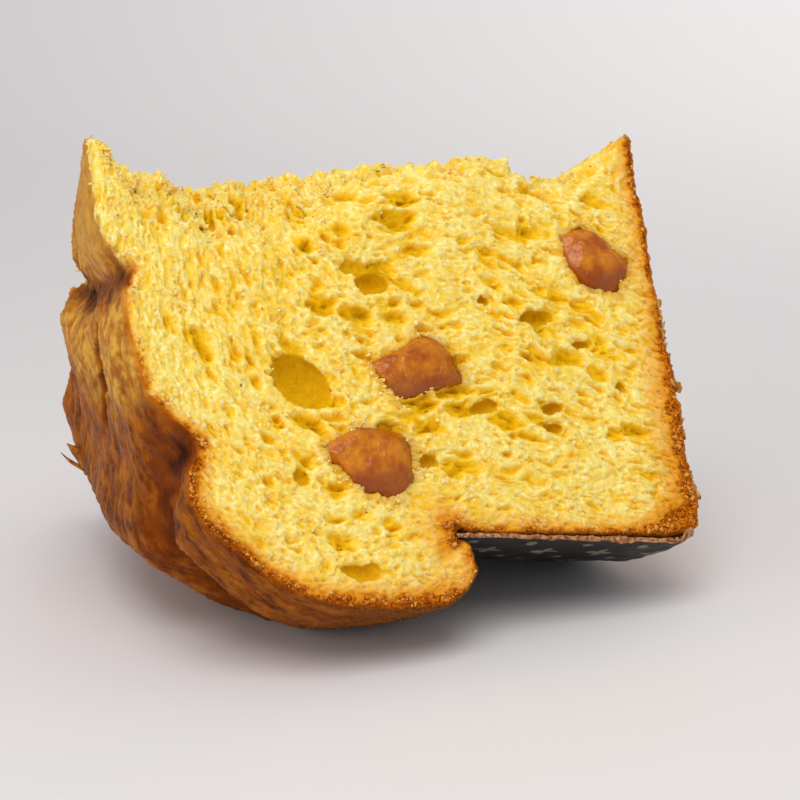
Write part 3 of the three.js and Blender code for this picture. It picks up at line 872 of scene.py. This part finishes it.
bpy.ops.object.select_all(action="DESELECT")
bpy.ops.mesh.primitive_grid_add(x_subdivisions=CASE_COLUMNS, y_subdivisions=CASE_ROWS, size=2)
paper = bpy.context.object
paper.name = "paper_strip"
flat = read(paper.data.vertices, "co", 3).astype(float)
angle = CASE_START + (flat[:, 0] + 1) / 2 * (CASE_END - CASE_START)
height = CASE_BOTTOM + (flat[:, 1] + 1) / 2 * (CASE_TOP - CASE_BOTTOM)
at = np.stack((angle * CASE_RADIUS, height, np.zeros(len(height))), 1)
crinkle = CASE_CRINKLE * (0.5 * noise(at, 7, 131) + 0.5 * noise(at, 2.6, 132))
foot = CASE_FOOT_INSET * smooth(CASE_BOTTOM + CASE_FOOT_HEIGHT - height, 0, CASE_FOOT_HEIGHT)
out_at = CASE_RADIUS - CASE_THICKNESS / 2 - CASE_CRINKLE + crinkle - foot
points = (LOAF_BASE + AXIS * height[:, None] + DOWN * (out_at * np.cos(angle))[:, None]
          + FORWARD * (out_at * np.sin(angle))[:, None])
points[:, 2] = np.maximum(points[:, 2], CASE_THICKNESS / 2)
move_points(paper, points)
corner_vertex = np.empty(len(paper.data.loops), np.int32)
paper.data.loops.foreach_get("vertex_index", corner_vertex)
paper.data.uv_layers[0].uv.foreach_set("vector", (at[corner_vertex, :2] * MM).astype(np.float32).ravel())
face_outwards(paper)
first = paper.data.polygons[0]
from_axis = np.array(first.center) / MM - LOAF_BASE
if np.dot(from_axis - AXIS * (from_axis @ AXIS), np.array(first.normal)) < 0:
    paper.data.flip_normals()

# %% [markdown]
# The print is muted grey green on near-black brown. Its design is a plain one of our own, four-petalled
# rosettes and dots in staggered rows, drawn on the paper's map in millimetres.

# %% Printed paper
ROSETTE_SPACING, ROSETTE_RADIUS = 13.0, 3.1

printed, tree = new_material("matt printed baking paper")
paper_map = tree.nodes.new("ShaderNodeUVMap").outputs[0]
fibre = grain(tree, paper_map, 0.6, 3)


def rosettes(tree, shift, petals, size):
    """1 on the petals of rosettes in a square grid, moved by a share of its spacing."""
    per_metre = 1 / (ROSETTE_SPACING * MM)
    moved = add(tree, "Mapping", _0=paper_map, Location=(shift, shift, 0), Scale=[per_metre] * 3)
    wrapped = add(tree, "VectorMath", {"operation": "FRACTION"}, _0=moved)
    centred = add(tree, "VectorMath", {"operation": "SUBTRACT"}, _0=wrapped, _1=(0.5, 0.5, 0))
    parts = add(tree, "SeparateXYZ", _0=centred).node
    turn = maths(tree, "ARCTAN2", parts.outputs[1], parts.outputs[0])
    wave = maths(tree, "COSINE", maths(tree, "MULTIPLY", turn, petals))
    edge = ramp(tree, wave, -1, 1, 0.25 * size, size)
    flat_place = add(tree, "CombineXYZ", _0=parts.outputs[0], _1=parts.outputs[1])
    reach = tree.nodes.new("ShaderNodeVectorMath")
    reach.operation = "LENGTH"
    tree.links.new(flat_place, reach.inputs[0])
    gap = maths(tree, "SUBTRACT", edge, reach.outputs["Value"])
    return ramp(tree, gap, -0.008, 0.008)


big = rosettes(tree, 0.0, 4.0, ROSETTE_RADIUS / ROSETTE_SPACING)
dots = rosettes(tree, 0.5, 0.0, 0.085)
ink = maths(tree, "MAXIMUM", big, dots)
worn = ramp(tree, fibre, 0.3, 0.6, 0.5, 0.95)
ink = maths(tree, "MULTIPLY", ink, worn)
brown = mixed(tree, fibre, "#0e0705", "#1a100a")
cover = mixed(tree, ink, brown, "#7e8268")
relief = add(tree, "Bump", Height=fibre, Distance=0.05 * MM, Strength=1.0)
shade(tree, Base_Color=cover, Roughness=0.45, Specular_IOR_Level=0.3, Normal=relief)

kraft, tree = new_material("torn kraft edge")
place = place_on(tree)
pulp = grain(tree, place, 0.9, 3)
beige = mixed(tree, ramp(tree, pulp, 0.35, 0.65), "#6e3612", "#cc9462")
relief = add(tree, "Bump", Height=pulp, Distance=0.2 * MM, Strength=1.0)
shade(tree, Base_Color=beige, Roughness=0.9, Normal=relief)

paper.data.materials.append(printed)
paper.data.materials.append(kraft)
apply_modifier(paper, "SOLIDIFY", thickness=CASE_THICKNESS * MM, offset=0, material_offset=1,
               material_offset_rim=1, use_even_offset=True)
finish_piece(paper, "printed_paper", "paper_case")

# %% [markdown]
# Sawing and tearing leave loose crumbs on the walls between the cells, most of them along the edges,
# round the candied peel and on the torn top. One small uneven grain is modelled, then copied to places
# on the crumb with its own turn and size, and all the grains become one piece.

# %% Loose crumbs
rng = np.random.default_rng(7)


def scattered(name, template, faces, places, axes, scales):
    """Joins copies of a small closed shape, one at each place, turned by its axes and scaled."""
    shapes = (template[None] * scales[:, None]) @ axes + places[:, None]
    joined = faces[None] + (np.arange(len(places)) * len(template))[:, None, None]
    return mesh_from(name, shapes.reshape(-1, 3), joined.reshape(-1, faces.shape[1]))


def random_turns(count):
    """Random right-handed axes, one set for each copy."""
    first = rng.normal(size=(count, 3))
    first /= np.linalg.norm(first, axis=1, keepdims=True)
    second = np.cross(first, rng.normal(size=(count, 3)))
    second /= np.linalg.norm(second, axis=1, keepdims=True)
    return np.stack((first, second, np.cross(first, second)), 1)


bpy.ops.object.select_all(action="DESELECT")
bpy.ops.mesh.primitive_ico_sphere_add(subdivisions=1, radius=1)
grain_start = bpy.context.object
grain_shape = read(grain_start.data.vertices, "co", 3).astype(float)
grain_faces = read(grain_start.data.polygons, "vertices", 3)
bpy.data.objects.remove(grain_start)
grain_shape *= 1 + 0.45 * rng.uniform(-1, 1, (len(grain_shape), 1))

GRAIN_COUNT = 4500
points = bread_points
on_crumb = (crust < 0.2) & (in_cell < 0.2) & (in_pocket < 0.2)
wanted = on_crumb * np.clip(1 - 1.6 * pit, 0, 1) * (
    0.5 + 5 * bump(np.minimum(np.abs(to_crust - 1.6), 9), 1.2) + 4 * bump(to_fruit - 0.8, 1.2)
    + 1.5 * smooth(below_cut, 2, 6))
wanted = wanted * smooth(noise(points, 4, 151), -0.4, 0.6)
chosen = rng.choice(len(points), GRAIN_COUNT, replace=False, p=wanted / wanted.sum())
sizes = 0.13 + 0.26 * rng.random((GRAIN_COUNT, 1)) ** 3
stretched = sizes * rng.uniform(0.35, 1.7, (GRAIN_COUNT, 3))
places = points[chosen] + vertex_normals[chosen] * sizes * 0.5
crumbs = scattered("loose_crumbs", grain_shape, grain_faces, places, random_turns(GRAIN_COUNT), stretched)
dry_crumb, tree = new_material("dry crumb")
place = place_on(tree)
tone = mixed(tree, ramp(tree, grain(tree, place, 1.2, 2), 0.4, 0.6), "#fad058", "#fee69a")
tone = mixed(tree, measured(tree, "baked"), tone, "#e2a040")
shade(tree, Base_Color=tone, Roughness=0.9, Specular_IOR_Level=0.1)
crumbs.data.materials.append(dry_crumb)
keep(crumbs.data, "baked", np.repeat(whole_values["baked"][chosen], len(grain_shape)))
finish_piece(crumbs, "crumb_and_crust")

# %% [markdown]
# Where the loaf was torn by hand, the walls between the cells pull out into short soft fibres. One
# tapered fibre is modelled, a little bent, and copied over the torn top, where it leans out any way.

# %% Torn fibres
FIBRE_COUNT, FIBRE_RINGS, FIBRE_SIDES = 1100, 4, 5


def tube_faces(rings, sides):
    """The triangles of a closed tube of rings, with flat ends."""
    faces = []
    for ring in range(rings - 1):
        for side in range(sides):
            low, high = ring * sides, (ring + 1) * sides
            after = (side + 1) % sides
            faces += [(low + side, low + after, high + after), (low + side, high + after, high + side)]
    last = (rings - 1) * sides
    for side in range(1, sides - 1):
        faces += [(0, side + 1, side), (last, last + side, last + side + 1)]
    return np.array(faces)


def leaning_axes(directions, lean):
    """Axes whose third one leans out of each direction by a random amount."""
    third = directions + lean * rng.normal(size=directions.shape)
    third /= np.linalg.norm(third, axis=1, keepdims=True)
    first = np.cross(third, rng.normal(size=third.shape))
    first /= np.linalg.norm(first, axis=1, keepdims=True)
    return np.stack((first, np.cross(third, first), third), 1)


torn_tree = BVHTree.FromPolygons(solid_points.tolist(), solid_faces[is_torn].tolist())
tried = rng.permutation(np.nonzero(on_crumb)[0])[:60000]
to_torn = np.array([torn_tree.find_nearest(p, 2.0)[3] or 9.0 for p in points[tried].tolist()])
wanted = (to_torn < 1.6) * smooth(noise(points[tried], 4.5, 161), -0.1, 0.7) ** 2 * (to_fruit[tried] > 2)
chosen = tried[rng.choice(len(tried), FIBRE_COUNT, replace=False, p=wanted / wanted.sum())]
turns = np.arange(FIBRE_SIDES) / FIBRE_SIDES * 2 * math.pi
rise, turn = np.meshgrid(np.linspace(0, 1, FIBRE_RINGS), turns, indexing="ij")
taper = 1 - 0.75 * rise ** 1.5
fibre_shape = np.stack((np.cos(turn) * taper + 2 * rise ** 2, np.sin(turn) * taper, rise), -1)
fibre_shape = fibre_shape.reshape(-1, 3)
length = 0.4 + 1.3 * rng.random(FIBRE_COUNT) ** 3
half_width = 0.16 + 0.24 * rng.random(FIBRE_COUNT)
places = points[chosen] - vertex_normals[chosen] * 0.25
axes = leaning_axes(vertex_normals[chosen], 1.1)
fibres = scattered("torn_fibres", fibre_shape, tube_faces(FIBRE_RINGS, FIBRE_SIDES), places, axes,
                   np.stack((half_width, half_width, length), 1))
fibres.data.materials.append(dry_crumb)
keep(fibres.data, "baked", np.repeat(0.35 * whole_values["baked"][chosen], len(fibre_shape)))
finish_piece(fibres, "crumb_and_crust")

# %% [markdown]
# The base was pulled off its paper, so thin pale flakes stand on it, most of them along the cut edge.
# Each is a small uneven plate, copied at its own angle.

# %% Flakes on the base
FLAKE_COUNT, FLAKE_SIDES, FLAKE_THICKNESS = 560, 7, 0.18
turns = np.arange(FLAKE_SIDES) / FLAKE_SIDES * 2 * math.pi
rim = np.stack((np.cos(turns), np.sin(turns)), 1) * rng.uniform(0.55, 1.1, (FLAKE_SIDES, 1))
flake_shape = np.concatenate([np.column_stack((rim, np.full(FLAKE_SIDES, z))) for z in (-0.5, 0.5)])
on_base = (crust > 0.6) & (bread_height < 3.2) & (below_cut > 0.2)
wanted = on_base * (0.04 + 2.5 * bump(below_cut, 2.5)) * smooth(noise(points, 6, 171), -0.2, 0.5)
chosen = rng.choice(len(points), FLAKE_COUNT, replace=False, p=wanted / wanted.sum())
size = (0.3 + 1.5 * rng.random((FLAKE_COUNT, 1)) ** 4) * rng.uniform(0.6, 1.3, (FLAKE_COUNT, 2))
places = points[chosen] + vertex_normals[chosen] * 0.15
axes = leaning_axes(vertex_normals[chosen], 0.35)
flakes = scattered("base_flakes", flake_shape, tube_faces(2, FLAKE_SIDES), places, axes,
                   np.column_stack((size, np.full(FLAKE_COUNT, FLAKE_THICKNESS))))
pale_flake, tree = new_material("pale dry flake")
place = place_on(tree)
tone = mixed(tree, ramp(tree, grain(tree, place, 1.6, 2), 0.35, 0.65), "#a8661c", "#e2b464")
shade(tree, Base_Color=tone, Roughness=0.85, Specular_IOR_Level=0.2)
flakes.data.materials.append(pale_flake)
finish_piece(flakes, "crumb_and_crust")

# %% [markdown]
# A few strips of the dome's skin have come loose at its lower left and curl away from it. Each is swept
# along a curved line and ends in a point. The same sweep makes the crinkled edge of the cut paper.


# %% Loose skin and torn paper edge
def swept(name, rails, sides=6):
    """A piece of closed strips. Each has its middle line and two half widths, as rows of mm."""
    corners, faces = [], []
    turns = np.arange(sides) / sides * 2 * math.pi
    for middle, side, lift in rails:
        ring = side[:, None] * np.cos(turns)[:, None] + lift[:, None] * np.sin(turns)[:, None]
        faces.append(tube_faces(len(middle), sides) + sum(len(c) for c in corners))
        corners.append((middle[:, None] + ring).reshape(-1, 3))
    piece = mesh_from(name, np.concatenate(corners), np.concatenate(faces))
    face_outwards(piece)
    return piece


# Each curl: where it starts, which way it grows, which way it bends, its length and its width in mm
CURLS = (
    ((-54.5, 32.5, 21.0), (-0.80, 0.30, 0.15), (0.0, 0.0, 1.2), 7.0, 1.2),
    ((-54.0, 30.0, 22.0), (-0.60, 0.30, 0.75), (-0.6, 0.0, 0.3), 6.6, 5.0),
    ((-55.2, 9.0, 18.2), (-0.75, 0.25, 0.60), (-0.4, 0.2, 0.4), 4.2, 3.2),
    ((-54.6, 22.0, 20.0), (-0.80, 0.10, 0.50), (0.2, 0.1, 0.6), 4.0, 2.8),
    ((-55.6, -6.0, 16.6), (-0.85, -0.1, 0.20), (0.2, 0.0, 0.7), 3.2, 2.6),
)
rails = []
share = np.linspace(0, 1, 12)[:, None]
faces_front = np.array((-0.4, -0.9, 0.2))
for start, grows, bends, length, width in CURLS:
    grows, bends = np.array(grows), np.array(bends)
    middle = np.array(start) + grows * length * share + bends * 0.35 * length * share ** 2
    line = np.gradient(middle, axis=0)
    flat = np.cross(line, faces_front)
    side = np.cross(line, flat)
    side, flat = (v / np.linalg.norm(v, axis=1, keepdims=True) for v in (side, flat))
    ragged_width = 1 + 0.3 * noise(middle, 1.1, 181)[:, None]
    rails.append((middle, flat * (width / 2 * (1 - share ** 1.4) * ragged_width + 0.08), side * 0.14))
curls = swept("skin_curls", rails)
loose_skin, tree = new_material("loose toasted skin")
place = place_on(tree)
tone = mixed(tree, ramp(tree, grain(tree, place, 1.0, 3), 0.35, 0.65), "#7a3600", "#c27a28")
shade(tree, Base_Color=tone, Roughness=0.5, Specular_IOR_Level=0.3)
curls.data.materials.append(loose_skin)
finish_piece(curls, "crumb_and_crust")

rails = []
along = np.linspace(CASE_BOTTOM - 0.4, CASE_TOP + 0.3, 170)
for end, seed in ((CASE_END, 191), (CASE_START, 195)):
    line = np.stack((along, np.zeros(len(along)), np.full(len(along), end)), 1)
    wobble, jag, thick = (noise(line, size, seed + k) for k, size in enumerate((4.5, 1.1, 0.7)))
    foot = CASE_FOOT_INSET * smooth(CASE_BOTTOM + CASE_FOOT_HEIGHT - along, 0, CASE_FOOT_HEIGHT)
    away = CASE_RADIUS - 0.95 - foot + 0.3 * wobble + 0.2 * jag - 0.6 * bump(along - 3, 2)
    turned = end + (0.25 * jag + 0.25 * thick) / CASE_RADIUS
    radial = DOWN * np.cos(turned)[:, None] + FORWARD * np.sin(turned)[:, None]
    around = FORWARD * np.cos(turned)[:, None] - DOWN * np.sin(turned)[:, None]
    bulge = 0.3 + 0.12 * jag + 0.14 * thick + 0.55 * bump(along - 19.5, 2.6) + 0.5 * bump(along - 3, 2)
    middle = LOAF_BASE + AXIS * along[:, None] + radial * away[:, None]
    middle[:, 2] = np.maximum(middle[:, 2], 0.9)
    rails.append((middle, radial * bulge[:, None], around * (0.5 * bulge + 0.1)[:, None]))
paper_edge = swept("paper_torn_edge", rails)
paper_edge.data.materials.append(kraft)
finish_piece(paper_edge, "printed_paper")
